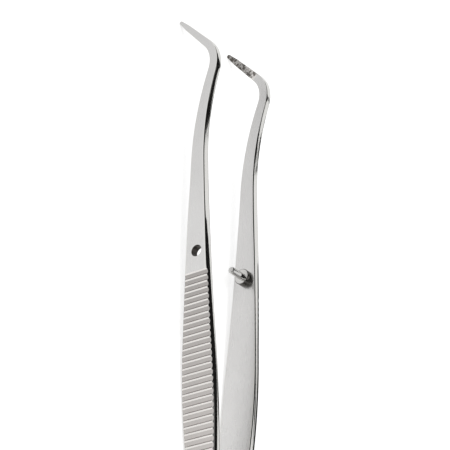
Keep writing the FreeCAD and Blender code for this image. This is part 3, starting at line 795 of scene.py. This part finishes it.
def make_arm(name, side, finishes, cutter):
    """One arm: blade, flutes, teeth, and the hole or seat."""
    satin, polished, fluted, flute_corner_painted_shade, flute_crest_painted_highlight, toothed = finishes
    blade = blade_mesh(side)
    for finish in (satin, polished, toothed):
        blade.materials.append(finish)
    piece = add_object(name, blade)
    flutes = groove_tree(name + "_flutes", "flute_run", "below_face", round_profile, "Cutter radius", -side)
    add_grooves(piece, flutes, {
        "First": 0.0, "Pitch": FLUTE_PITCH, "Count": float(FLUTE_COUNT), "Depth": FLUTE_DEPTH,
        "Cutter radius": FLUTE_RADIUS, "Corner from": FLUTE_CORNER,
        "Finish": fluted, "Corner painted shade": flute_corner_painted_shade, "Crest painted highlight": flute_crest_painted_highlight,
    })
    teeth = groove_tree(name + "_teeth", "bite_run", "above_inner", pointed_profile, "Half mouth", side)
    # The teeth take their own spotted material in the painted shade and highlight slots too
    add_grooves(piece, teeth, {
        "First": FIRST_TOOTH, "Pitch": TOOTH_PITCH, "Count": float(TOOTH_COUNT), "Depth": TOOTH_DEPTH,
        "Half mouth": TOOTH_HALF_MOUTH, "Corner from": 0.0,
        "Finish": toothed, "Corner painted shade": toothed, "Crest painted highlight": toothed,
    })
    piece = as_plain_mesh(piece, name + "_grooved")
    piece = cut_hole(piece, cutter)
    piece.name = name
    piece.data.transform(blade_to_row)
    sharpen(piece, ARM_CREASE)
    return piece


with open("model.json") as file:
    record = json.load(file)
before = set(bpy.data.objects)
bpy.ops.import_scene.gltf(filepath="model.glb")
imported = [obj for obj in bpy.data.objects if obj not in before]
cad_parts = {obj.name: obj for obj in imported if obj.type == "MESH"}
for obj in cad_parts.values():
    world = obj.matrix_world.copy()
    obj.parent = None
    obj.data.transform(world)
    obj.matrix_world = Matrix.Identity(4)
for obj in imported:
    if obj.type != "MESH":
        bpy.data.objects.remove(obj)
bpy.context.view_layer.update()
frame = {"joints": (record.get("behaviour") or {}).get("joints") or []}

# The blade's frame from the hinge, which lies at the front of the weld
hinge = frame["joints"][0]
hinge_place = Vector(hinge["pos_m"])
width_way = Vector(hinge["axis"]).normalized()
out_way = Vector((0, 1, 0))
along_way = out_way.cross(width_way).normalized()
axes = Matrix((along_way, out_way, width_way)).transposed().to_4x4()
blade_to_row = Matrix.Translation(hinge_place) @ axes @ Matrix.Scale(MM, 4)
blade_to_row = blade_to_row @ Matrix.Translation((-WELD_END, 0, 0))

# Lightness at two places along X, in millimetres: painted light and shade, lighter towards the heel and
# darker towards the beak, on the satin faces and on the flutes
SATIN_PAINTED_SHADE_ENDS = (-12.0, 1.1), (56.0, 0.9)
FLUTE_PAINTED_SHADE_ENDS = (-20.0, 1.1), (14.0, 0.8)
satin = satin_steel()
polished = polished_steel("buffed_stainless_steel", "#DAD9D6", 0.05)
# The flutes' colour is painted lighter towards the heel and darker towards the beak, as light and shade
fluted = polished_steel("milled_stainless_steel_with_painted_shade_along", "#BAB6B3", 0.16, FLUTE_PAINTED_SHADE_ENDS)
pin_finish = polished_steel("turned_and_buffed_steel", "#CDCCCA", 0.04)
# Painted shade on one side of each flute towards its crest
flute_corner_painted_shade = polished_steel("steel_painted_with_shade_in_the_flute_corners", "#66625F", 0.3)
# Painted highlight on the other side of each flute towards its crest
flute_crest_painted_highlight = polished_steel("steel_painted_with_highlight_on_the_crests", "#E9E6E3", 0.12)
# Random spots painted dark and bright on the teeth, in place of their reflections
toothed = teeth_steel_painted_with_reflections()
# Painted dark reflection on the collar's side
collar_painted_dark_reflection = polished_steel("steel_painted_with_dark_reflection_round_the_collar", "#5C5A57", 0.12)
# Painted shade in the bores of the guide hole and the pin's seat
bore_painted_shade = polished_steel("steel_painted_with_shade_in_the_bore", "#4E4A47", 0.35)
steels = (satin, polished, fluted, flute_corner_painted_shade, flute_crest_painted_highlight, toothed)

# The cutters give their painted shade to the faces of the hole and the seat
near_arm = make_arm("arm_with_hole_steel", NEAR, steels, guide_cutter(bore_painted_shade))
far_arm = make_arm("arm_with_pin_steel", FAR, steels, rivet_cutter(bore_painted_shade))
pin = add_object("guide_pin_steel", pin_mesh())
pin.data.materials.append(pin_finish)
pin.data.materials.append(collar_painted_dark_reflection)
pin.data.transform(blade_to_row)
sharpen(pin, PIN_CREASE)

for piece, replaced, slot in (
    (near_arm, "arm_with_hole", "arm_steel"),
    (far_arm, "arm_with_pin", "arm_steel"),
    (pin, "guide_pin", "pin_steel"),
):
    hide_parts(replaced)

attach(near_arm, "arm_with_hole")
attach(pin, "arm_with_pin")
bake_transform(far_arm, "arm_with_hole", "arm_with_pin",
         start=blade_to_row @ Vector((BEND_FROM, 0, 0)), end=blade_to_row @ Vector((BEND_TO, 0, 0)))


# The white room
ROOM_LIGHT = 0.45
FLOOR_SIZE = 30.0
FLOOR_GLOW = 0.52
FLOOR_GLOW_MIRRORED = 0.32
KEY_SIZE = 0.7
KEY_RADIANCE = 3.0
DARK = "#1C1C1C"
GREY = "#A6A6A6"
CEILING = 0.5


def white_when_seen(tree, by_camera, in_mirrors):
    """The strength of a glow that only the camera and reflections see."""
    rays = node(tree, "ShaderNodeLightPath").outputs
    mirrored = node(tree, "ShaderNodeMath", {
        0: rays["Is Glossy Ray"], 1: rays["Is Transmission Ray"],
    }, operation="MAXIMUM")
    mirrored = node(tree, "ShaderNodeMath", {0: mirrored.outputs[0], 1: in_mirrors}, operation="MULTIPLY")
    direct = node(tree, "ShaderNodeMath", {0: rays["Is Camera Ray"], 1: by_camera}, operation="MULTIPLY")
    return node(tree, "ShaderNodeMath", {0: mirrored.outputs[0], 1: direct.outputs[0]}).outputs[0]


def make_floor():
    """A pale seamless floor."""
    bpy.ops.mesh.primitive_plane_add(size=FLOOR_SIZE, location=(0, 0, 0))
    floor = bpy.context.object
    floor.name = "floor"
    material, tree = new_material("pale_floor")
    matte = node(tree, "ShaderNodeBsdfDiffuse", {"Color": linear("#EFEFEF")})
    strength = white_when_seen(tree, FLOOR_GLOW, FLOOR_GLOW_MIRRORED)
    glow = node(tree, "ShaderNodeEmission", {"Strength": strength})
    both = node(tree, "ShaderNodeAddShader", {0: matte.outputs[0], 1: glow.outputs[0]})
    node(tree, "ShaderNodeOutputMaterial", {"Surface": both.outputs[0]})
    floor.data.materials.append(material)


def make_world():
    """A white room: plain light on the object, full white to the camera and in reflections."""
    world = bpy.data.worlds.new("white_room")
    world.use_nodes = True
    tree = world.node_tree
    tree.nodes.clear()
    extra = white_when_seen(tree, 1.0 - ROOM_LIGHT, 1.0 - ROOM_LIGHT)
    strength = node(tree, "ShaderNodeMath", {0: extra, 1: ROOM_LIGHT}, operation="ADD")
    back = node(tree, "ShaderNodeBackground", {"Color": (1, 1, 1, 1), "Strength": strength.outputs[0]})
    node(tree, "ShaderNodeOutputWorld", {"Surface": back.outputs[0]})
    bpy.context.scene.world = world


def make_key_box(place):
    """A square soft box that faces the object."""
    lamp = bpy.data.lights.new("key_box", "AREA")
    lamp.shape = "RECTANGLE"
    lamp.size = KEY_SIZE
    lamp.size_y = KEY_SIZE
    lamp.energy = KEY_RADIANCE * math.pi * KEY_SIZE * KEY_SIZE
    holder = add_object("key_box", lamp)
    holder.location = place
    holder.rotation_euler = (-Vector(place)).to_track_quat("-Z", "Y").to_euler()


def add_card(name, colour, corners):
    """A dark or grey card out of sight, there only for polished steel to mirror."""
    data = bpy.data.meshes.new(name)
    data.from_pydata(corners, [], [range(len(corners))])
    card = add_object(name, data)
    material, tree = new_material("felt_" + name)
    shade = node(tree, "ShaderNodeEmission", {"Color": linear(colour), "Strength": 1.0})
    node(tree, "ShaderNodeOutputMaterial", {"Surface": shade.outputs[0]})
    card.data.materials.append(material)
    card.visible_camera = False
    card.visible_diffuse = False
    card.visible_shadow = False
    card.visible_transmission = False


make_floor()
make_world()
make_key_box((-0.25, 0.35, 0.9))

# A dark ceiling round a grey middle, so that the polished walls show a dark band from the side and are grey
# from the top. The stepped back edge and the notch set where the band starts and ends along the arms.
for name, colour, corners in (
    ("ceiling_back", DARK, (
        (-0.9, -0.3), (-0.01, -0.3), (0.04, -0.4), (0.16, -0.44),
        (0.3, -0.55), (1.3, -0.55), (1.3, -0.15), (-0.9, -0.15),
    )),
    ("ceiling_notch", DARK, ((0.27, -0.585), (0.41, -0.585), (0.36, -0.85), (0.27, -0.85))),
    ("ceiling_middle", GREY, ((-0.15, -0.15), (0.15, -0.15), (0.15, 0.2), (-0.15, 0.2))),
    ("ceiling_right", DARK, ((0.15, -0.15), (1.3, -0.15), (1.3, 0.2), (0.15, 0.2))),
    ("ceiling_left", DARK, ((-0.9, -0.15), (-0.15, -0.15), (-0.15, 0.2), (-0.9, 0.2))),
    ("ceiling_front", DARK, ((-0.9, 0.2), (1.3, 0.2), (1.3, 0.5), (-0.9, 0.85))),
):
    add_card(name, colour, [(x, y, CEILING) for x, y in corners])
add_card("back_card", DARK, [
    (-0.7, -0.5, 0.002), (0.36, -0.5, 0.002), (0.36, -0.5, 0.2), (-0.7, -0.5, 0.4),
])

# The camera looks down on the tweezers where they lie, as the photograph sees them
CAMERA_PLACE = (-0.158681, 0.285631, 0.222008)
CAMERA_TURN = (27.7587, -52.8074, -90.071)
CAMERA_LENS = 163.18
CAMERA_SENSOR = 36.0
NEAR_CLIP = 0.01
camera_data = bpy.data.cameras.new("camera")
camera_data.lens = CAMERA_LENS
camera_data.sensor_width = CAMERA_SENSOR
camera_data.clip_start = NEAR_CLIP
camera = add_object("camera", camera_data)
camera.location = CAMERA_PLACE
camera.rotation_euler = [math.radians(angle) for angle in CAMERA_TURN]
bpy.context.scene.camera = camera
bpy.context.scene.view_settings.view_transform = "Standard"
